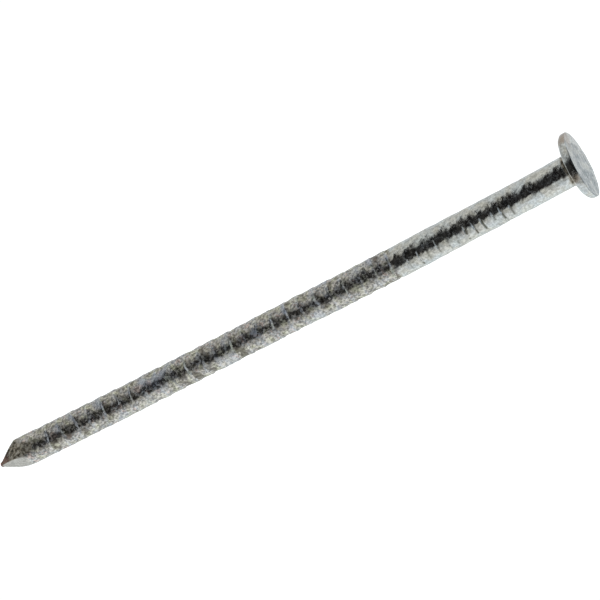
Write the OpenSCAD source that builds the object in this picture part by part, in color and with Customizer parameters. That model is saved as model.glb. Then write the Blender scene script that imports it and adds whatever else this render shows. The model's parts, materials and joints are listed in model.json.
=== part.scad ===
// Galvanised annular ring-shank nail: flat round head, gripper marks under it, rings and a diamond point.
// The nail lies along X with its tip towards -X. The origin is the centre of the head's bearing face.

/* [Shank] */
// Diameter of the bare steel wire
shank_d = 3.35; // [3:0.05:3.75]
// Length from the head's bearing face to the tip
nail_length = 75; // [75:1:90]

/* [Head] */
// Diameter of the steel head
head_d = 7.7; // [7:0.1:8.5]
// Thickness of the steel head
head_t = 0.9; // [0.8:0.05:1.3]
// Rounding of the head's two rim edges, measured outside the zinc
rim_r = 0.2; // [0.15:0.05:0.35]
// Fillet between the shank and the bearing face, measured outside the zinc
fillet_r = 0.25; // [0.15:0.05:0.4]

/* [Point] */
// Length of the four ground facets, from the tip to the full wire
point_len = 3.9; // [3.5:0.1:5]
// Width of the small square end left at the tip
tip_w = 0.3; // [0.1:0.05:0.5]

/* [Rings] */
// Number of rings
ring_count = 27; // [1:1:27]
// Distance from one ring to the next
ring_pitch = 1.87; // [1.8:0.01:1.87]
// Depth of the steel between the rings
ring_depth = 0.14; // [0.05:0.01:0.25]
// Width of each ring's crest
ring_land = 0.3; // [0.2:0.05:0.4]
// Length of the gentle side of each ring, which faces the tip
ring_rise = 0.75; // [0.6:0.05:0.8]
// Length of the steep side of each ring, which faces the head
ring_fall = 0.35; // [0.2:0.05:0.5]
// Distance from the bearing face to the first ring's crest
ring_start = 23.2; // [22.8:0.1:23.4]

/* [Gripper marks] */
// Number of marks on each side of the shank
grip_count = 12; // [1:1:12]
// Distance from one mark to the next
grip_pitch = 1.18; // [0.9:0.01:1.18]
// Distance from the bearing face to the first mark
grip_start = 7.85; // [6:0.05:7.85]
// Width of a mark's floor
grip_w = 0.35; // [0.2:0.05:0.45]
// Depth of a mark in the steel
grip_depth = 0.12; // [0.06:0.01:0.15]
// Turn of the marks round the shank from the sides that the point's facets face
grip_turn = 25; // [0:5:90]

/* [Zinc coating] */
// Thickness of the zinc
zinc_t = 0.075; // [0.05:0.005:0.1]
// Extra zinc that fills the bottoms of the ring grooves and the marks
zinc_fill = 0.04; // [0:0.01:0.05]
// Length of steel that is worn bare at the tip
bare_tip = 1; // [0.5:0.1:1.5]

/* [Hidden] */
$fn = 96;
shank_r = shank_d / 2;
head_r = head_d / 2;
ring_valley_r = shank_r - ring_depth;
head_top = zinc_t + head_t;
fillet_centre_r = shank_r + zinc_t + fillet_r;
plain_end = ring_start - ring_pitch + ring_land / 2;
point_slope = (shank_r - tip_w / 2) / point_len;
point_angle = atan(point_slope);
wedge_half_w = head_r + 2;
wedge_end = head_t + 2;

// One ring as [radius, distance along X], from its steep side to its gentle side.
// skin is the zinc on the crests, and fill is what it adds between them.
function ring_outline(k, skin, fill) =
    let (x = -ring_start - k * ring_pitch, low = ring_valley_r + skin + fill, high = shank_r + skin)
    [
        [low, x + ring_land / 2 + ring_fall],
        [high, x + ring_land / 2],
        [high, x - ring_land / 2],
        [low, x - ring_land / 2 - ring_rise]
    ];

// Half of the nail's section with square corners, from the head's top to the tip.
function nail_outline(skin, fill) =
    concat(
        [
            [0, head_top + skin],
            [head_r + skin, head_top + skin],
            [head_r + skin, zinc_t - skin],
            [fillet_centre_r, zinc_t - skin],
            [fillet_centre_r, -fillet_r],
            [shank_r + skin, -fillet_r],
            [shank_r + skin, -plain_end],
            [ring_valley_r + skin + fill, -plain_end - ring_rise]
        ],
        [for (k = [0 : ring_count - 1]) each ring_outline(k, skin, fill)],
        [
            [ring_valley_r + skin + fill, -nail_length],
            [0, -nail_length]
        ]
    );

// What a square corner pointing to +X +Y loses when it is rounded.
module corner_waste(edge_r) {
    difference() {
        translate([-edge_r, -edge_r])
            square(2 * edge_r);
        translate([-edge_r, -edge_r])
            circle(edge_r);
    }
}

// The headed wire before pointing: head, fillet, plain shank and rings in one turned section.
// The fillet's hollow keeps one centre for the steel and the zinc, so the coating is even through it.
module headed_wire(skin, fill) {
    edge_r = rim_r - zinc_t + skin;
    rotate([0, 90, 0])
        rotate_extrude()
            difference() {
                polygon(nail_outline(skin, fill));
                translate([fillet_centre_r, -fillet_r])
                    circle(fillet_r + zinc_t - skin);
                translate([head_r + skin, head_top + skin])
                    corner_waste(edge_r);
                translate([head_r + skin, zinc_t - skin])
                    mirror([0, 1])
                        corner_waste(edge_r);
            }
}

// A wedge across the whole nail whose two sloping sides cut one pair of the point's facets.
module point_wedge(skin, from_tip) {
    half_w = tip_w / 2 + point_slope * from_tip + skin / cos(point_angle);
    start = -nail_length + from_tip;
    full = start + (wedge_half_w - half_w) / point_slope;
    linear_extrude(height = 2 * wedge_half_w, center = true)
        polygon([
            [start, -half_w],
            [full, -wedge_half_w],
            [wedge_end, -wedge_half_w],
            [wedge_end, wedge_half_w],
            [full, wedge_half_w],
            [start, half_w]
        ]);
}

// The dies that grip the wire while its head is struck leave a row of shallow grooves on two sides.
module gripper_marks(floor_r) {
    reach = shank_d;
    flare = reach - floor_r;
    for (side = [0, 180], k = [0 : grip_count - 1])
        rotate([side - grip_turn, 0, 0])
            translate([-grip_start - k * grip_pitch, 0, 0])
                linear_extrude(height = 2 * shank_d, center = true)
                    polygon([
                        [-grip_w / 2, -floor_r],
                        [grip_w / 2, -floor_r],
                        [grip_w / 2 + flare, -reach],
                        [-grip_w / 2 - flare, -reach]
                    ]);
}

// The whole nail's shape, grown by a skin, with its point starting a given distance from the tip.
module nail_form(skin, fill, from_tip) {
    difference() {
        intersection() {
            headed_wire(skin, fill);
            point_wedge(skin, from_tip);
            rotate([90, 0, 0])
                point_wedge(skin, from_tip);
        }
        gripper_marks(shank_r - grip_depth + skin + fill);
    }
}

// The hot-dip zinc over all of the steel except the worn tip.
module galvanised_coating() {
    color([0.70, 0.71, 0.70])
        difference() {
            nail_form(zinc_t, zinc_fill, bare_tip);
            nail_form(0, 0, 0);
        }
}

// The nail's one forging: wire with its head, gripper marks, rings and diamond point.
module steel_core() {
    color([0.42, 0.37, 0.33])
        nail_form(0, 0, 0);
}

galvanised_coating();
steel_core();
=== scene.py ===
"""A galvanised ring-shank nail on a pale studio floor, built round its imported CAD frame.

The nail lies along X with its tip towards -X. The mesh functions work in millimetres, and the
frame and the scene are in metres. An angle round the nail is in radians, from -Y towards +Z.
"""

import json
import math
import random

import bpy
import numpy as np
from mathutils import Matrix, Vector, noise


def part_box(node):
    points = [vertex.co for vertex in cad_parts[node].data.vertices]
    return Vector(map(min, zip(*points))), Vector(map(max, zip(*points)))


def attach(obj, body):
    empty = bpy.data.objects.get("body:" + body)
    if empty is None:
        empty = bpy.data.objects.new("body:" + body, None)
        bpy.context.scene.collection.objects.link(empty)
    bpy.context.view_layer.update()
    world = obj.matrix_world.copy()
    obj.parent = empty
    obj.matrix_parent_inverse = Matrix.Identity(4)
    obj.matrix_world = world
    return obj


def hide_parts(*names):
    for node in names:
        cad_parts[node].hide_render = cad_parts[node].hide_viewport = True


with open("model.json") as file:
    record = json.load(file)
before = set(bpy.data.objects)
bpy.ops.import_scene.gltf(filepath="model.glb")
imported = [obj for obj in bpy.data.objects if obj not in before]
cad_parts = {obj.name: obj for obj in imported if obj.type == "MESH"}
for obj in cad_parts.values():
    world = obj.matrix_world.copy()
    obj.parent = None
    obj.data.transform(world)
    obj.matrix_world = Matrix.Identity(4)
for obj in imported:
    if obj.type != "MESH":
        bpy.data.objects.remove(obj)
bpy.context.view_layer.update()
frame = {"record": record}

MM = 0.001
STEEL_BOX = [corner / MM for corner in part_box("steel_core")]
ZINC_BOX = [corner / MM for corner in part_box("galvanised_coating")]
SHANK = next(m for m in frame["record"]["mounts"] if m["name"] == "shank")

# Sizes that the frame gives
TIP_X = STEEL_BOX[0].x
TOP_X = ZINC_BOX[1].x
ZINC_T = ZINC_BOX[1].x - STEEL_BOX[1].x
SHANK_R = SHANK["dims"]["r_mm"]
HEAD_R = ZINC_BOX[1].z

# Head. Its sides are turns round the nail.
FILLET_R = 0.25
RIM_R_UNDER = 0.2
RIM_R_TOP = 0.06
RIM_TAPER = 0.55
RIM_TAPER_H = 0.6
RIM_TAPER_SIDE = math.radians(143)
RIM_CONE = 0.02
HEAD_WOBBLE = 0.03
HEAD_WOBBLE_SIZE = 3
HEAD_BEND = 0.07
HEAD_BENT_UP_SIDE = math.radians(53)
HEAD_BENT_DOWN_SIDE = math.radians(143)
TOP_STREAK_TURN = math.radians(-127)
TOP_STREAK_STRETCH = 1.9

# Point, and how far back from the tip the zinc has worn off
POINT_SLOPE = 0.391
POINT_END_HALF = 0.15
POINT_SOFT_SIDE = math.radians(-45)
POINT_FULLER = 0.07
POINT_SOFTNESS = 0.08
POINT_SOFTER = 0.5
UPPER_FACET_FROM = 0.62
UPPER_FACET_EDGE = 0.12
SMOOTH_POINT_L = 3.2
STAINED_POINT_L = 3.6
WORN_BACK = 0.12
WORN_BACK_UPPER = 1.35
BARE_NIB = 0.03

# Rings, from the nail's tip towards its head
RING_PITCH = 1.867
RING_CREST_X = -71.68
RING_LAST_X = -22.3
RING_FIRST_X = -70.4
RING_DEPTH = 0.085
RING_FALL = 0.12
RING_GROOVE = 0.2
RING_WAVER = [(0.3, 2.6, 1), (0.1, 0.8, 2)]
RING_WEAR = [(1.2, 2.4, 4), (0.6, 1.1, 15)]

# The nail's slight bow, and how sharply it comes near the ends
BOW = 0.3
BOW_CENTRE_X = -35
BOW_HALF = 38
BOW_POWER = 3.2
BOW_TIP_SHARE = 0.75
BOW_LOW_SHARE = 0.25
TIP_TURN = 0.22
TIP_TURN_L = 3.5

# Where the dies have made the shank a little fuller: on its front below the marks, and behind the head
FRONT_SWELL = 0.12
FRONT_SWELL_X = -25
FRONT_SWELL_L = 9
FRONT_SWELL_SIDE = math.radians(-37)
NECK_SWELL = 0.07
NECK_SWELL_L = 3.2
NECK_SWELL_SIDE = math.radians(143)
OVERALL_SWELL = 0.02

# Gripper marks
GRIP_FIRST_X = -20.76
GRIP_LAST_X = -7.74
GRIP_COUNT = 12
GRIP_HALF_W = 0.2
GRIP_DEPTH = 0.075
GRIP_HALF_TURN = math.radians(52)
GRIP_SIDES = (math.radians(28), math.radians(208))

# The zinc's lumps and its uneven thickness. Each layer is a height, a size and a seed.
ZINC_LUMPS = [(0.030, 1.5, 5), (0.022, 0.75, 6), (0.010, 0.4, 7)]
ZINC_UNEVEN = [(0.25, 1.1, 3), (0.2, 0.6, 4)]

# Spots on the head's rim. Each is a centre and a radius, and SPOT_EDGE is how softly it ends.
TAN_SPOTS = [((0.8, 2.1, 3.2), 1.9), ((0.5, -3.01, 2.40), 1.0)]
BROWN_SPOT = ((0.4, -3.01, 2.40), 0.8)
SPOT_EDGE = 0.8
TOP_MARGIN = 0.02

# Mesh grid. The rows near the tip follow the ragged end of the zinc, as far back as POINT_ROWS_L.
COLUMNS = 96
INNER_STRIDE = 3
ARC_STEPS = 7
POINT_ROWS_L = 6
GRIP_ROWS = (-21.5, -7)

# Camera
VIEW_ROUND = math.radians(53)
VIEW_ALONG = math.radians(16.7)
VIEW_ROLL = math.radians(27.28)
VIEW_DISTANCE = 445
VIEW_CENTRE_X = -37
VIEW_SHIFT_ALONG = 2.49
VIEW_SHIFT_ACROSS = -1.08
LENS = 240
SENSOR = 36

# The floor's glow, with a brighter pool of light round the nail
FLOOR_GLOW = 0.81
POOL_GLOW = 0.30
POOL_HALF_L = 36
POOL_R = 14
FLOOR_SIZE = 3
BACKDROP_GLOW = 1.1

# The light tent. A direction in it has an X and a turn round the nail, and each pair of numbers is where
# a soft edge starts and ends. The opening in front is dark, and so is a smaller one behind.
OPENING_LOW = (math.radians(18), math.radians(29))
OPENING_HIGH = (math.radians(96), math.radians(114))
OPENING_TIP_END = (-1.0, -0.9)
OPENING_HEAD_END = (0.02, 0.16)
OPENING_RISE = math.radians(7.7)
OPENING_RISE_X = (-0.29, -0.2)
OPENING_FALL = math.radians(20)
OPENING_FALL_X = (-0.39, -0.25)
OPENING_LIFT = math.radians(25)
OPENING_LIFT_X = (-0.245, -0.19)
OPENING_DEEP_X = (-0.255, -0.22)
OPENING_DIM = (0.042, 0.040, 0.040, 1)
OPENING_DARK = (0.011, 0.010, 0.010, 1)
BACK_LOW = (math.radians(92), math.radians(104))
BACK_HIGH = (math.radians(132), math.radians(150))
BACK_X = (0.35, 0.5)
BACK_DARK = (0.10, 0.10, 0.11, 1)
TENT_TIP_END = (0.66, 0.65, 0.63, 1)
TENT_STRETCHES = [
    ((-0.6, 0.3), (1.34, 1.34, 1.31, 1)),
    ((0.0, 0.2), (0.48, 0.53, 0.62, 1)),
    ((0.2, 0.7), (1.10, 1.18, 1.30, 1)),
    ((0.8, 0.95), (1.75, 1.80, 1.82, 1)),
]
TENT_LOW_SHARE = 0.78
TENT_LOW_END = math.radians(50)

# The numbers that the zinc's mesh keeps at its vertices for its material
ZINC_MASKS = ("crest", "groove", "blue", "worked", "warm", "marked", "stain", "top", "tan")

# Colours
WHITE = (1, 1, 1, 1)
POOL_WHITE = (0.97, 1.0, 1.0, 1)
PAPER_GREY = (0.45, 0.45, 0.45, 1)
POINT_ZINC = (0.38, 0.375, 0.35, 1)
# A painted blue reflection on the crests' upper side
BLUE_REFLECTION_TINT = (0.33, 0.38, 0.47, 1)
# Crests lightened and blued: worn zinc with a painted highlight
CREST_WEAR_AND_HIGHLIGHT = (0.48, 0.54, 0.62, 1)
TAN_ZINC = (0.30, 0.25, 0.205, 1)
# Dark colours for the rings' grooves: dirt, and painted shade in the hollows
GROOVE_DIRT_AND_SHADE = (0.14, 0.125, 0.10, 1)
GROOVE_GRIME_SHADE_COLOUR = (0.09, 0.08, 0.065, 1)
PIT_DARK = (0.09, 0.08, 0.07, 1)
# Dark colour for the gripper marks, as dirt with painted shade, and for the fillet under the head, as
# painted shade
MARK_DIRT_AND_SHADE = (0.07, 0.07, 0.05, 1)


# Shapes

def smooth(t):
    """A smooth step from 0 to 1 as t goes from 0 to 1."""
    t = np.clip(t, 0, 1)
    return t * t * (3 - 2 * t)


def soft_min(a, b, width):
    """The smaller of a and b, with their corner rounded over about width."""
    mix = np.clip(0.5 + 0.5 * (b - a) / width, 0, 1)
    return b + (a - b) * mix - width * mix * (1 - mix)


def around(x, angle, radius):
    """Points at that distance from the nail's axis."""
    return np.stack([x, -radius * np.cos(angle), radius * np.sin(angle)], axis=-1)


def lumps(points, wavelength, seed):
    """Smooth noise at each point, from about -1 to 1, in lumps of that size."""
    shift = Vector((17.3, 5.1, 9.7)) * seed
    flat = points.reshape(-1, 3) / wavelength
    values = [noise.noise(Vector(p) + shift) for p in flat]
    return np.array(values).reshape(points.shape[:-1])


def layered_lumps(points, layers):
    """The sum of several layers of lumps, each with its height, size and seed."""
    return sum(height * lumps(points, size, seed) for height, size, seed in layers)


def ringed_stretch(x):
    """1 along the rings and 0 on the rest of the shank."""
    return smooth((RING_LAST_X - x) / 0.5) * smooth((x - RING_FIRST_X) / 2.0)


def gripped_stretch(x):
    """How much the gripper dies have roughened the shank beside their marks."""
    return 0.2 * smooth((x - GRIP_FIRST_X + 1.5) / 1.5) * smooth((GRIP_LAST_X + 0.5 - x) / 1.5)


def ring_height(x, angle):
    """How high the rings stand, from 0 in a groove to 1 on a crest and on the plain shank.

    Each ring leans and wavers a little, and is worn lower in some places than in others.
    """
    points = around(x, angle, np.full_like(x, SHANK_R))
    x = x + layered_lumps(points, RING_WAVER)
    fall_share = RING_FALL * (1 + 1.2 * np.clip(lumps(points, 1.6, 3), -0.5, 1))
    phase = np.mod((x - RING_CREST_X) / RING_PITCH, 1)
    fall = 1 - smooth(phase / fall_share)
    rise = np.clip((phase - fall_share - RING_GROOVE) / (1 - fall_share - RING_GROOVE), 0, 1) ** 1.2
    depth = np.clip(0.7 + layered_lumps(points, RING_WEAR), 0.05, 1.3)
    return 1 - ringed_stretch(x) * depth * (1 - np.maximum(fall, rise))


def grip_depth(x, angle):
    """How deep the gripper marks are: V grooves part of the way round the shank on two sides."""
    draw = random.Random(4)
    depth = np.zeros_like(x)
    for side in GRIP_SIDES:
        for centre in np.linspace(GRIP_FIRST_X, GRIP_LAST_X, GRIP_COUNT):
            centre = centre + draw.uniform(-0.12, 0.12)
            deepest = GRIP_DEPTH * draw.uniform(0.3, 1.3)
            lean = draw.uniform(-0.12, 0.12)
            half_w = GRIP_HALF_W * draw.uniform(0.7, 1.2)
            half_turn = GRIP_HALF_TURN * draw.uniform(0.6, 1.1)
            turned = np.mod(angle - side - draw.uniform(-0.2, 0.2) + math.pi, math.tau) - math.pi
            off = np.abs(x - centre - lean * turned)
            mark = smooth(1.2 * (1 - off / half_w)) * smooth(1.6 * (1 - np.abs(turned) / half_turn))
            depth = np.maximum(depth, deepest * mark)
    return depth


def bowed(points):
    """The points with the nail's slight bow, whose middle is low in front. The tip turns back down."""
    from_centre = (points[..., 0] - BOW_CENTRE_X) / BOW_HALF
    share = np.minimum(np.abs(from_centre), 1) ** BOW_POWER
    share = share * np.where(from_centre < 0, BOW_TIP_SHARE, 1)
    tip_turn = np.clip(1 - (points[..., 0] - TIP_X) / TIP_TURN_L, 0, 1) ** 2
    toward = np.array((0, math.sin(VIEW_ROUND), math.cos(VIEW_ROUND)))
    rise = BOW * (share - BOW_LOW_SHARE) - TIP_TURN * tip_turn
    return points + rise[..., None] * toward


def point_radius(x, angle):
    """The radius of the point's four facets, which face +-Y and +-Z."""
    half = POINT_END_HALF + POINT_SLOPE * np.maximum(x - TIP_X, 0)
    facing = np.maximum(np.abs(np.cos(angle)), np.abs(np.sin(angle)))
    return half / facing * (1 + POINT_FULLER * smooth(np.cos(angle - POINT_SOFT_SIDE)))


def swell(x, angle):
    """How much fuller the shank is than its mean size."""
    front = np.exp(-((x - FRONT_SWELL_X) / FRONT_SWELL_L) ** 2)
    front = front * np.maximum(np.cos(angle - FRONT_SWELL_SIDE), 0) ** 1.5
    neck = smooth(1 + x / NECK_SWELL_L) * np.maximum(np.cos(angle - NECK_SWELL_SIDE), 0)
    return FRONT_SWELL * front + NECK_SWELL * neck + OVERALL_SWELL


def nail_radius(x, angle):
    """The coated shank's radius, before the zinc's own lumps."""
    radius = SHANK_R - RING_DEPTH * (1 - ring_height(x, angle)) - grip_depth(x, angle)
    radius = radius + swell(x, angle)
    softness = POINT_SOFTNESS + POINT_SOFTER * smooth(np.cos(angle - POINT_SOFT_SIDE))
    return soft_min(radius, point_radius(x, angle), softness)


def head_profile():
    """The head's section from the fillet to the middle of its top: x, radius and outward normal."""
    turn = np.linspace(0, math.pi / 2, ARC_STEPS)
    under, top = RIM_R_UNDER, RIM_R_TOP
    rows = []
    for a in turn:
        rows.append((FILLET_R * (math.sin(a) - 1), SHANK_R + FILLET_R * (1 - math.cos(a)),
                     -math.sin(a), math.cos(a)))
    for r in np.linspace(SHANK_R + FILLET_R, HEAD_R - under, 12)[1:-1]:
        rows.append((0, r, -1, 0))
    for a in turn:
        rows.append((under * (1 - math.cos(a)), HEAD_R - under * (1 - math.sin(a)),
                     -math.cos(a), math.sin(a)))
    for x in np.linspace(under, TOP_X - top, 8)[1:-1]:
        rows.append((x, HEAD_R, 0, 1))
    for a in turn:
        rows.append((TOP_X - top * (1 - math.sin(a)), HEAD_R - top * (1 - math.cos(a)),
                     math.sin(a), math.cos(a)))
    for r in np.linspace(HEAD_R - top, 0.1, 34)[1:]:
        rows.append((TOP_X, r, 1, 0))
    return np.array(rows)


def shank_stations():
    """Places along the shank from the tip to the fillet, closest where there is most detail."""
    stretches = [
        (TIP_X, TIP_X + POINT_ROWS_L, 0.08),
        (TIP_X + POINT_ROWS_L, GRIP_ROWS[0], 0.12),
        (*GRIP_ROWS, 0.09),
        (GRIP_ROWS[1], -FILLET_R, 0.15),
    ]
    return np.concatenate([np.arange(a, b - step / 2, step) for a, b, step in stretches])


def shank_surface(angle, start_x):
    """The coated shank's points and outward normals, with its first row at start_x."""
    stations = shank_stations()
    pull = np.clip(1 - (stations - TIP_X) / POINT_ROWS_L, 0, 1)
    x = stations[:, None] + pull[:, None] * (start_x - TIP_X)[None, :]
    angles = np.broadcast_to(angle, x.shape)
    return around(x, angles, nail_radius(x, angles)), around(np.zeros_like(x), angles, np.ones_like(x))


def head_surface(angle):
    """The coated head's points and outward normals: a little out of round, bent and tapered."""
    head = head_profile()
    angles = np.broadcast_to(angle, (len(head), COLUMNS))
    x, radius, out_x, out_r = (np.repeat(head[:, k : k + 1], COLUMNS, 1) for k in range(4))
    ring = around(np.zeros_like(x), angles, np.full_like(x, HEAD_WOBBLE_SIZE))
    wobble = HEAD_WOBBLE * lumps(ring, HEAD_WOBBLE_SIZE, 8) * smooth(radius - 2.2)
    taper = RIM_TAPER * np.clip(1 - x / RIM_TAPER_H, 0, 1) ** 2 * np.cos(angles - RIM_TAPER_SIDE) ** 2
    taper = (taper + RIM_CONE * (1 - x / TOP_X)) * smooth((radius - SHANK_R - FILLET_R) / 1.2)
    bent_up = np.maximum(np.cos(angles - HEAD_BENT_UP_SIDE), 0)
    bent_down = np.maximum(np.cos(angles - HEAD_BENT_DOWN_SIDE), 0)
    bend = HEAD_BEND * (bent_up - bent_down) * smooth((radius - SHANK_R) / (HEAD_R - SHANK_R))
    return around(x + bend, angles, radius + wobble - taper), around(out_x, angles, out_r)


def nail_surface(start_x):
    """The coated nail as a grid of points and outward normals, with its first row at start_x."""
    angle = np.arange(COLUMNS) * math.tau / COLUMNS
    shank, shank_out = shank_surface(angle, start_x)
    head, head_out = head_surface(angle)
    return np.concatenate([shank, head]), np.concatenate([shank_out, head_out])


def zinc_thickness(points, worn_x):
    """The zinc's thickness: uneven all over, and feathered out where it has worn off."""
    feather = smooth((points[..., 0] - worn_x) / 0.5)
    return ZINC_T * (0.15 + 0.85 * feather) * (1 + layered_lumps(points, ZINC_UNEVEN))


def upper_facet(share):
    """1 on the point's facet that faces up. share is how squarely the place faces up, at most 1."""
    return smooth((share - UPPER_FACET_FROM) / UPPER_FACET_EDGE)


def worn_edge(angle):
    """Where the zinc ends near the tip: it is worn furthest back on the upper facet."""
    upper = upper_facet(np.sin(angle))
    ragged = 0.15 * np.sin(9 * angle + 1) + 0.1 * np.sin(23 * angle)
    return TIP_X + WORN_BACK + (WORN_BACK_UPPER + ragged) * upper


def grid_faces(rows, first, flip):
    """Quads of a tube of that many rows, whose vertices start at first."""
    i, j = np.meshgrid(np.arange(rows - 1), np.arange(COLUMNS), indexing="ij")
    here = first + i * COLUMNS + j
    beside = first + i * COLUMNS + (j + 1) % COLUMNS
    quads = np.stack([here, here + COLUMNS, beside + COLUMNS, beside], axis=-1).reshape(-1, 4)
    return quads[:, ::-1] if flip else quads


def cap_faces(first, pole, flip):
    """A fan from the row that starts at first to the vertex pole."""
    j = np.arange(COLUMNS)
    fan = np.stack([first + j, np.full(COLUMNS, pole), first + (j + 1) % COLUMNS], axis=-1)
    return fan[:, ::-1] if flip else fan


def make_mesh(name, points, faces, masks):
    """A smooth mesh object in metres. masks are numbers kept at its vertices for the materials."""
    mesh = bpy.data.meshes.new(name)
    mesh.from_pydata((points * MM).tolist(), [], [list(map(int, f)) for part in faces for f in part])
    for label, values in masks.items():
        attribute = mesh.attributes.new(label, "FLOAT", "POINT")
        attribute.data.foreach_set("value", values.astype(np.float32).ravel())
    mesh.shade_smooth()
    mesh.validate()
    piece = bpy.data.objects.new(name, mesh)
    bpy.context.scene.collection.objects.link(piece)
    return piece


def make_zinc_skin():
    """The zinc as a closed shell: its outside, and its inside against the steel."""
    angle = np.arange(COLUMNS) * math.tau / COLUMNS
    worn_x = worn_edge(angle)
    points, out = nail_surface(worn_x)
    thickness = zinc_thickness(points, worn_x)
    stand_off = layered_lumps(points, ZINC_LUMPS) + thickness - ZINC_T
    outside = points + out * stand_off[..., None]
    rows = len(points)
    kept = sorted(set(range(0, rows, INNER_STRIDE)) | {rows - 1})
    inside = (points - out * ZINC_T)[kept]
    vertices = np.concatenate([
        outside.reshape(-1, 3),
        inside.reshape(-1, 3),
        [outside[-1].mean(0), inside[-1].mean(0)],
    ])
    inner_first = rows * COLUMNS
    pole = len(vertices) - 2
    j = np.arange(COLUMNS)
    beside = (j + 1) % COLUMNS
    edge = np.stack([j, beside, inner_first + beside, inner_first + j], axis=-1)
    faces = [
        grid_faces(rows, 0, False),
        grid_faces(len(kept), inner_first, True),
        edge,
        cap_faces((rows - 1) * COLUMNS, pole, False),
        cap_faces(inner_first + (len(kept) - 1) * COLUMNS, pole + 1, True),
    ]
    masks = zinc_masks(points, angle)
    masks = {name: pad(values, len(vertices)) for name, values in masks.items()}
    return make_mesh("zinc_skin", bowed(vertices), faces, masks)


def zinc_masks(points, angle):
    """Where the zinc has each of its looks, as numbers from 0 to 1 under the names in ZINC_MASKS."""
    x = points[..., 0]
    angles = np.broadcast_to(angle, x.shape)
    height = ring_height(x, angles)
    ringed = ringed_stretch(x)
    marked = np.clip(1.5 * grip_depth(x, angles) / GRIP_DEPTH, 0, 1)
    return {
        "crest": ringed * smooth((height - 0.5) / 0.5),
        "groove": ringed * smooth((0.7 - height) / 0.6),
        "blue": ringed * blue_reflection_mask(points, height),
        "worked": worked_mask(points),
        "warm": smooth((RING_LAST_X - x) / 0.5),
        # Gripper marks darkened as dirt and painted shade; the fillet under the head darkened as painted
        # shade
        "marked": np.maximum(marked, fillet_mask(points)),
        "stain": stain_mask(points),
        "top": (x > TOP_X - TOP_MARGIN).astype(float),
        "tan": tan_mask(points),
    }


def pad(values, count):
    """The values, followed by zeros up to that count."""
    values = values.ravel()
    return np.concatenate([values, np.zeros(count - len(values))])


def off_axis(points):
    """Each point's distance from the nail's axis."""
    return np.hypot(points[..., 1], points[..., 2])


def up_share(points):
    """The Z share of each point's direction from the axis: 1 on the nail's upper side."""
    return points[..., 2] / np.maximum(off_axis(points), 0.01)


def worked_mask(points):
    """Where the zinc is rough: on the rings, beside the gripper marks and on the point's upper facet."""
    x = points[..., 0]
    behind_point = smooth(x - TIP_X - SMOOTH_POINT_L) * smooth((RING_LAST_X - x) / 0.5)
    return np.maximum.reduce([behind_point, gripped_stretch(x), point_mask(points)])


def blue_reflection_mask(points, height):
    """Bluer patches here and there along the crests, on the side that faces up: a painted blue
    reflection.
    """
    upward = smooth((up_share(points) - 0.7) / 0.15)
    return upward * smooth((height - 0.4) / 0.5) * smooth((lumps(points, 1.9, 16) - 0.12) / 0.2)


def point_mask(points):
    """1 on the point's upper facet and just behind it, where the zinc is thin and stained."""
    turn = np.arctan2(points[..., 2], -points[..., 1])
    further_in_front = 1.8 * smooth((1.75 - turn) / 0.5)
    reach = TIP_X + STAINED_POINT_L + further_in_front + 1.2 * lumps(points, 0.9, 14)
    return smooth((reach - points[..., 0]) / 0.8) * upper_facet(up_share(points))


def near(points, centre, radius):
    """1 close to that centre, falling to 0 at that radius."""
    return smooth((radius - np.linalg.norm(points - np.array(centre), axis=-1)) / SPOT_EDGE)


def stain_mask(points):
    """Where the zinc is stained brown: on the point, in the corner under the head and on the rim."""
    x = points[..., 0]
    corner = smooth((x + 1.0) / 0.7) * smooth((0.3 - x) / 0.1)
    corner = corner * smooth((SHANK_R + 0.6 - off_axis(points)) / 0.4)
    blotch = 0.85 + 1.1 * lumps(points, 0.8, 11)
    stained = np.maximum.reduce([point_mask(points), corner, near(points, *BROWN_SPOT)])
    return np.clip(stained * blotch, 0, 1)


def fillet_mask(points):
    """1 on the fillet under the head, which is darkened there as painted shade."""
    x = points[..., 0]
    along = smooth((x + 0.16) / 0.06) * smooth((0.06 - x) / 0.06)
    return along * smooth((SHANK_R + 0.45 - off_axis(points)) / 0.1)


def tan_mask(points):
    """The tan patches on the rim's upper side and its front, which only just reach the head's top."""
    on_rim = 0.3 + 0.7 * smooth((TOP_X - points[..., 0]) / 0.05)
    spots = np.maximum.reduce([near(points, *spot) for spot in TAN_SPOTS])
    return spots * on_rim * np.clip(0.9 + 0.6 * lumps(points, 0.6, 17), 0, 1)


def make_steel_wire():
    """The wire inside the zinc, with its bare brown tip."""
    points, out = nail_surface(np.full(COLUMNS, TIP_X))
    steel = points - out * ZINC_T * smooth((points[..., :1] - TIP_X + 0.1) / 0.6)
    steel = steel + out * (0.02 * lumps(points, 0.6, 12))[..., None]
    rows = len(points)
    fine = shank_stations().searchsorted(TIP_X + 3)
    kept = sorted(set(range(fine)) | set(range(fine, rows, INNER_STRIDE)) | {rows - 1})
    steel = steel[kept]
    tip = steel[0].mean(0) - np.array((BARE_NIB, 0, 0))
    vertices = np.concatenate([steel.reshape(-1, 3), [tip, steel[-1].mean(0)]])
    last = (len(kept) - 1) * COLUMNS
    pole = len(vertices) - 2
    faces = [
        grid_faces(len(kept), 0, False),
        cap_faces(0, pole, True),
        cap_faces(last, pole + 1, False),
    ]
    return make_mesh("steel_wire", bowed(vertices), faces, {})


# Materials

def add_node(tree, kind, settings=None, inputs=None):
    """A shader node. inputs maps a socket's name or number to a value or to another node's socket."""
    node = tree.nodes.new(kind)
    for name, value in (settings or {}).items():
        setattr(node, name, value)
    for key, value in (inputs or {}).items():
        if isinstance(value, bpy.types.NodeSocket):
            tree.links.new(value, node.inputs[key])
        else:
            node.inputs[key].default_value = value
    return node


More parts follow.
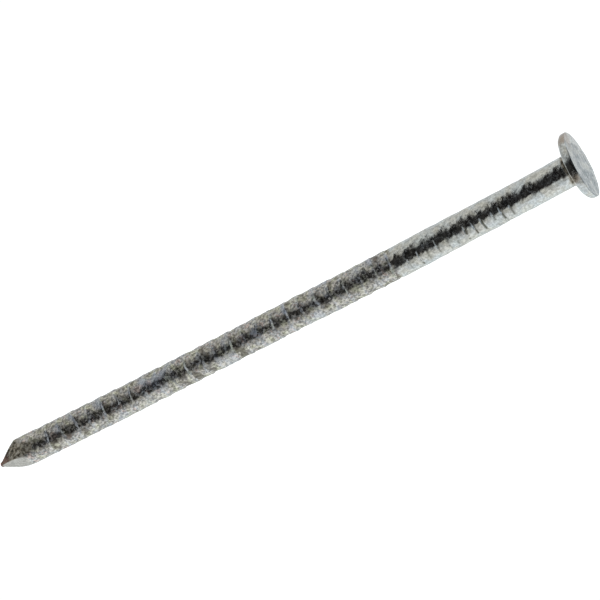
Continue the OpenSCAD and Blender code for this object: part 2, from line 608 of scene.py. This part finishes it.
def noise_value(tree, where, wavelength, detail=2, roughness=0.5, distortion=0.0):
    """Noise from about 0.3 to 0.7 in lumps of that size in millimetres."""
    inputs = {"Vector": where, "Scale": 1 / (wavelength * MM), "Detail": detail,
              "Roughness": roughness, "Distortion": distortion}
    return add_node(tree, "ShaderNodeTexNoise", None, inputs).outputs["Fac"]


def map_range(tree, value, low, high, to_low=0.0, to_high=1.0, kind="SMOOTHSTEP"):
    """The value's stretch from low to high, clamped. It is eased too, unless kind is LINEAR."""
    inputs = {"Value": value, "From Min": low, "From Max": high,
              "To Min": to_low, "To Max": to_high}
    return add_node(tree, "ShaderNodeMapRange", {"interpolation_type": kind}, inputs).outputs[0]


def maths(tree, operation, *values):
    """The result of a sum or another operation on numbers or sockets."""
    node = add_node(tree, "ShaderNodeMath", {"operation": operation}, dict(enumerate(values)))
    return node.outputs[0]


def mix_colour(tree, factor, a, b, blend="MIX"):
    """Colour a where factor is 0 and colour b, or their blend, where it is 1."""
    settings = {"data_type": "RGBA", "blend_type": blend}
    return add_node(tree, "ShaderNodeMix", settings, {0: factor, 6: a, 7: b}).outputs[2]


def colour_ramp(tree, value, stops):
    """A ramp through (place, colour) stops."""
    node = add_node(tree, "ShaderNodeValToRGB", None, {"Fac": value})
    ramp = node.color_ramp
    while len(ramp.elements) < len(stops):
        ramp.elements.new(0.5)
    for element, (place, colour) in zip(ramp.elements, stops):
        element.position = place
        element.color = (*colour, 1)
    return node.outputs["Color"]


def new_material(name):
    """An empty material and its node tree."""
    material = bpy.data.materials.new(name)
    material.use_nodes = True
    material.node_tree.nodes.clear()
    return material, material.node_tree


def finish_material(tree, inputs):
    """The surface shader with those inputs, on the material's output."""
    shader = add_node(tree, "ShaderNodeBsdfPrincipled", None, inputs)
    add_node(tree, "ShaderNodeOutputMaterial", None, {"Surface": shader.outputs[0]})


def zinc_tint(tree, where, masks):
    """The zinc's own colour: pale and blue-grey on the plain shank, tan and olive over the rings."""
    plain_tint = colour_ramp(tree, noise_value(tree, where, 1.1, 2), [
        (0.38, (0.51, 0.515, 0.475)),
        (0.50, (0.51, 0.53, 0.515)),
        (0.62, (0.50, 0.54, 0.545)),
    ])
    ring_tint = colour_ramp(tree, noise_value(tree, where, 0.9, 2), [
        (0.36, (0.43, 0.435, 0.35)),
        (0.44, (0.46, 0.455, 0.405)),
        (0.52, (0.43, 0.415, 0.385)),
        (0.60, (0.39, 0.41, 0.41)),
        (0.66, (0.48, 0.42, 0.39)),
    ])
    turned = add_node(tree, "ShaderNodeVectorRotate", {"rotation_type": "X_AXIS"}, {
        "Vector": where, "Angle": TOP_STREAK_TURN})
    streaked = add_node(tree, "ShaderNodeMapping", None, {
        "Vector": turned.outputs[0], "Scale": (1, 1 / TOP_STREAK_STRETCH, 1)}).outputs[0]
    top_tint = colour_ramp(tree, noise_value(tree, streaked, 0.8, 3, 0.6), [
        (0.36, (0.16, 0.19, 0.20)),
        (0.45, (0.265, 0.29, 0.30)),
        (0.54, (0.34, 0.36, 0.355)),
        (0.62, (0.415, 0.43, 0.405)),
    ])
    colour = mix_colour(tree, masks["warm"], plain_tint, POINT_ZINC)
    colour = mix_colour(tree, masks["worked"], colour, ring_tint)
    return mix_colour(tree, masks["top"], colour, top_tint)


def zinc_mottle(tree, where, worked):
    """The grain that makes the zinc darker and lighter, most strongly where it is worked."""
    low = map_range(tree, worked, 0.0, 1.0, 0.78, 0.48)
    high = map_range(tree, worked, 0.0, 1.0, 1.17, 1.43)
    share = map_range(tree, noise_value(tree, where, 0.28, 3, 0.65), 0.36, 0.64)
    return maths(tree, "MULTIPLY_ADD", share, maths(tree, "SUBTRACT", high, low), low)


def zinc_dirt_and_painted_light(tree, where, masks, colour):
    """The colour with painted blue reflections and highlights on the crests, dark pits, and darkening in
    the grooves and gripper marks, which is partly dirty zinc and partly painted shade, and in the fillet,
    which is painted shade.
    """
    # A painted blue reflection on the upward crests
    blue = maths(tree, "MULTIPLY", masks["blue"], 0.5)
    colour = mix_colour(tree, blue, colour, BLUE_REFLECTION_TINT)
    # Crests lightened and blued as worn zinc with a painted highlight
    edge = map_range(tree, masks["crest"], 0.7, 1.0)
    colour = mix_colour(tree, maths(tree, "MULTIPLY", edge, 0.25), colour, CREST_WEAR_AND_HIGHLIGHT)
    # The grooves darkened as dirt and as painted shade
    groove = maths(tree, "MULTIPLY", masks["groove"], 0.2)
    colour = mix_colour(tree, groove, colour, GROOVE_DIRT_AND_SHADE)
    groove_grime_and_shade = map_range(tree, noise_value(tree, where, 1.0, 2), 0.48, 0.58, 0.0, 0.65)
    groove_grime_and_shade = maths(tree, "MULTIPLY", map_range(tree, masks["groove"], 0.6, 1.0), groove_grime_and_shade)
    colour = mix_colour(tree, groove_grime_and_shade, colour, GROOVE_GRIME_SHADE_COLOUR)
    pits = map_range(tree, noise_value(tree, where, 0.4, 3, 0.7), 0.60, 0.68)
    pits = maths(tree, "MULTIPLY", pits, map_range(tree, masks["worked"], 0.0, 1.0, 0.15, 0.7))
    colour = mix_colour(tree, pits, colour, PIT_DARK)
    # The gripper marks darkened as dirt and painted shade, and the fillet under the head as painted shade
    marks_soiled_and_shaded = map_range(tree, noise_value(tree, where, 0.6), 0.42, 0.52)
    marks_soiled_and_shaded = maths(tree, "MULTIPLY", masks["marked"], marks_soiled_and_shaded)
    return mix_colour(tree, maths(tree, "MULTIPLY", marks_soiled_and_shaded, 0.9), colour, MARK_DIRT_AND_SHADE)


def rust_colour(tree, where):
    """Brown stains from nearly black to pale."""
    return colour_ramp(tree, noise_value(tree, where, 0.35, 3, 0.6), [
        (0.36, (0.065, 0.058, 0.047)),
        (0.46, (0.19, 0.172, 0.132)),
        (0.54, (0.35, 0.318, 0.255)),
        (0.64, (0.52, 0.50, 0.44)),
    ])


def zinc_roughness(tree, where, worked, stained):
    """Satin with matt blotches, rougher where the zinc is worked or stained."""
    matt = map_range(tree, noise_value(tree, where, 0.33, 3, 0.6, 0.3), 0.48, 0.60)
    least = map_range(tree, worked, 0.0, 1.0, 0.12, 0.22)
    most = map_range(tree, worked, 0.0, 1.0, 0.26, 0.56)
    roughness = maths(tree, "MULTIPLY_ADD", matt, maths(tree, "SUBTRACT", most, least), least)
    return maths(tree, "MULTIPLY_ADD", stained, 0.42, roughness)


def zinc_material():
    """Hot-dip zinc: mottled grey with pale, tan and olive tints, dark pits and brown stains, with painted
    blue reflections and highlights on the crests and painted shade in the grooves, marks and fillet.

    The worked zinc of the rings is rougher, browner and more broken up than the plain shank's.
    """
    material, tree = new_material("hot_dip_zinc")
    where = add_node(tree, "ShaderNodeTexCoord").outputs["Object"]
    masks = {}
    for name in ZINC_MASKS:
        masks[name] = add_node(tree, "ShaderNodeAttribute", {"attribute_name": name}).outputs["Fac"]
    colour = zinc_tint(tree, where, masks)
    colour = mix_colour(tree, 1.0, colour, zinc_mottle(tree, where, masks["worked"]), "MULTIPLY")
    colour = zinc_dirt_and_painted_light(tree, where, masks, colour)
    colour = mix_colour(tree, maths(tree, "MULTIPLY", masks["tan"], 0.85), colour, TAN_ZINC)
    stained = map_range(tree, masks["stain"], 0.05, 0.85)
    colour = mix_colour(tree, stained, colour, rust_colour(tree, where))
    bump = add_node(tree, "ShaderNodeBump", None, {
        "Strength": 1.0, "Distance": 0.022 * MM, "Height": noise_value(tree, where, 0.4, 3, 0.6)})
    finish_material(tree, {
        "Base Color": colour,
        "Metallic": 1.0,
        "Roughness": zinc_roughness(tree, where, masks["worked"], stained),
        "Specular Tint": (0.7, 0.7, 0.7, 1),
        "Normal": bump.outputs["Normal"],
    })
    return material


def steel_material():
    """Bare drawn steel, brown with thin rust."""
    material, tree = new_material("bare_brown_steel")
    where = add_node(tree, "ShaderNodeTexCoord").outputs["Object"]
    colour = colour_ramp(tree, noise_value(tree, where, 0.5, 4, 0.65), [
        (0.33, (0.035, 0.022, 0.017)),
        (0.48, (0.12, 0.065, 0.045)),
        (0.60, (0.24, 0.15, 0.11)),
        (0.70, (0.40, 0.34, 0.29)),
    ])
    bump = add_node(tree, "ShaderNodeBump", None, {
        "Strength": 1.0, "Distance": 0.015 * MM, "Height": noise_value(tree, where, 0.2, 3, 0.6)})
    finish_material(tree, {
        "Base Color": colour,
        "Metallic": 0.55,
        "Roughness": map_range(tree, noise_value(tree, where, 0.3), 0.3, 0.7, 0.3, 0.6),
        "Normal": bump.outputs["Normal"],
    })
    return material


# Stage

def floor_material():
    """A pale floor that is lit from below as well, most strongly round the nail."""
    material, tree = new_material("pale_floor")
    where = add_node(tree, "ShaderNodeTexCoord").outputs["Object"]
    axes = add_node(tree, "ShaderNodeSeparateXYZ", None, {0: where}).outputs
    beyond = maths(tree, "SUBTRACT", maths(tree, "ABSOLUTE", axes["X"]), POOL_HALF_L * MM)
    beyond = maths(tree, "MAXIMUM", beyond, 0.0)
    squares = maths(tree, "ADD", maths(tree, "POWER", beyond, 2.0), maths(tree, "POWER", axes["Y"], 2.0))
    away = maths(tree, "SQRT", squares)
    pool = map_range(tree, away, 0.0, POOL_R * MM, 1.0, 0.0)
    strength = maths(tree, "MULTIPLY_ADD", pool, POOL_GLOW, FLOOR_GLOW)
    colour = mix_colour(tree, pool, WHITE, POOL_WHITE)
    paper = add_node(tree, "ShaderNodeBsdfDiffuse", None, {"Color": PAPER_GREY})
    glow = add_node(tree, "ShaderNodeEmission", None, {"Color": colour, "Strength": strength})
    both = add_node(tree, "ShaderNodeAddShader", None, {0: paper.outputs[0], 1: glow.outputs[0]})
    add_node(tree, "ShaderNodeOutputMaterial", None, {"Surface": both.outputs[0]})
    return material


def make_floor():
    """The floor touches the head's rim and the shank's last ring, as under a nail that lies on it."""
    rim = Vector((TOP_X / 2, 0, -HEAD_R)) * MM
    ring = Vector((RING_CREST_X, 0, -SHANK_R)) * MM
    tilt = math.atan2(ring.z - rim.z, rim.x - ring.x)
    middle = (rim + ring) / 2
    bpy.ops.mesh.primitive_plane_add(size=FLOOR_SIZE, location=middle, rotation=(0, tilt, 0))
    floor = bpy.context.object
    floor.name = "floor"
    floor.data.materials.append(floor_material())
    return floor


def front_opening(tree, x, turn):
    """1 in the dark opening in front. Its upper and lower edges slope with X."""
    rise = map_range(tree, x, *OPENING_RISE_X, 0.0, OPENING_RISE, "LINEAR")
    low = map_range(tree, maths(tree, "SUBTRACT", turn, rise), *OPENING_LOW)
    fall = map_range(tree, x, *OPENING_FALL_X, OPENING_FALL, 0.0, "LINEAR")
    lift = map_range(tree, x, *OPENING_LIFT_X, 0.0, -OPENING_LIFT, "LINEAR")
    shifted = maths(tree, "ADD", turn, maths(tree, "ADD", fall, lift))
    high = map_range(tree, shifted, *OPENING_HIGH, 1.0, 0.0)
    tip_end = map_range(tree, x, *OPENING_TIP_END)
    head_end = map_range(tree, x, *OPENING_HEAD_END, 1.0, 0.0)
    band = maths(tree, "MULTIPLY", low, high)
    return maths(tree, "MULTIPLY", band, maths(tree, "MULTIPLY", tip_end, head_end))


def back_opening(tree, x, turn):
    """1 in the smaller dark opening above and behind the nail, at its head's end."""
    low = map_range(tree, turn, *BACK_LOW)
    high = map_range(tree, turn, *BACK_HIGH, 1.0, 0.0)
    return maths(tree, "MULTIPLY", map_range(tree, x, *BACK_X), maths(tree, "MULTIPLY", low, high))


def tent_light(tree, x, turn):
    """The tent's own light, which changes from the tip's end to the head's and is weaker low in front."""
    light = TENT_TIP_END
    for limits, next_light in TENT_STRETCHES:
        light = mix_colour(tree, map_range(tree, x, *limits), light, next_light)
    low_share = map_range(tree, turn, 0.0, TENT_LOW_END, TENT_LOW_SHARE, 1.0)
    return mix_colour(tree, 1.0, light, low_share, "MULTIPLY")


def light_studio():
    """A soft tent all round, with dark openings in front and behind, over a white lower half."""
    world = bpy.data.worlds.new("studio")
    world.use_nodes = True
    bpy.context.scene.world = world
    tree = world.node_tree
    tree.nodes.clear()
    direction = add_node(tree, "ShaderNodeTexCoord").outputs["Generated"]
    axes = add_node(tree, "ShaderNodeSeparateXYZ", None, {0: direction}).outputs
    turn = maths(tree, "ARCTAN2", axes["Z"], maths(tree, "MULTIPLY", axes["Y"], -1.0))
    light = tent_light(tree, axes["X"], turn)
    light = mix_colour(tree, back_opening(tree, axes["X"], turn), light, BACK_DARK)
    deep = map_range(tree, axes["X"], *OPENING_DEEP_X)
    inside = mix_colour(tree, deep, OPENING_DIM, OPENING_DARK)
    light = mix_colour(tree, front_opening(tree, axes["X"], turn), light, inside)
    down = map_range(tree, axes["Z"], -0.02, 0.0, 1.0, 0.0)
    light = mix_colour(tree, down, light, WHITE)
    backdrop = add_node(tree, "ShaderNodeBackground", None, {"Color": WHITE, "Strength": BACKDROP_GLOW})
    lit = add_node(tree, "ShaderNodeBackground", None, {"Color": light, "Strength": 1.0})
    camera_ray = add_node(tree, "ShaderNodeLightPath").outputs["Is Camera Ray"]
    both = add_node(tree, "ShaderNodeMixShader", None, {
        0: camera_ray, 1: lit.outputs[0], 2: backdrop.outputs[0]})
    add_node(tree, "ShaderNodeOutputWorld", None, {"Surface": both.outputs[0]})


def add_camera():
    """A long lens in front, above and a little towards the head, rolled so the nail lies aslant."""
    back = Vector((
        math.sin(VIEW_ALONG),
        -math.cos(VIEW_ALONG) * math.cos(VIEW_ROUND),
        math.cos(VIEW_ALONG) * math.sin(VIEW_ROUND),
    ))
    along = (Vector((1, 0, 0)) - back * back.x).normalized()
    across = along.cross(back)
    right = math.cos(VIEW_ROLL) * along + math.sin(VIEW_ROLL) * across
    up = math.sin(VIEW_ROLL) * along - math.cos(VIEW_ROLL) * across
    centre = Vector((VIEW_CENTRE_X, 0, 0))
    target = centre + VIEW_SHIFT_ALONG * along + VIEW_SHIFT_ACROSS * across
    camera = bpy.data.objects.new("camera", bpy.data.cameras.new("camera"))
    camera.data.lens = LENS
    camera.data.sensor_width = SENSOR
    camera.data.clip_start = 0.01
    turn = Matrix((right, up, back)).transposed().to_4x4()
    camera.matrix_world = Matrix.Translation((target + VIEW_DISTANCE * back) * MM) @ turn
    bpy.context.scene.collection.objects.link(camera)
    bpy.context.scene.camera = camera


skin = make_zinc_skin()
skin.data.materials.append(zinc_material())
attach(skin, "root")
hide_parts("galvanised_coating")

wire = make_steel_wire()
wire.data.materials.append(steel_material())
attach(wire, "root")
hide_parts("steel_core")

floor = make_floor()
light_studio()
add_camera()
bpy.context.scene.view_settings.view_transform = "Standard"
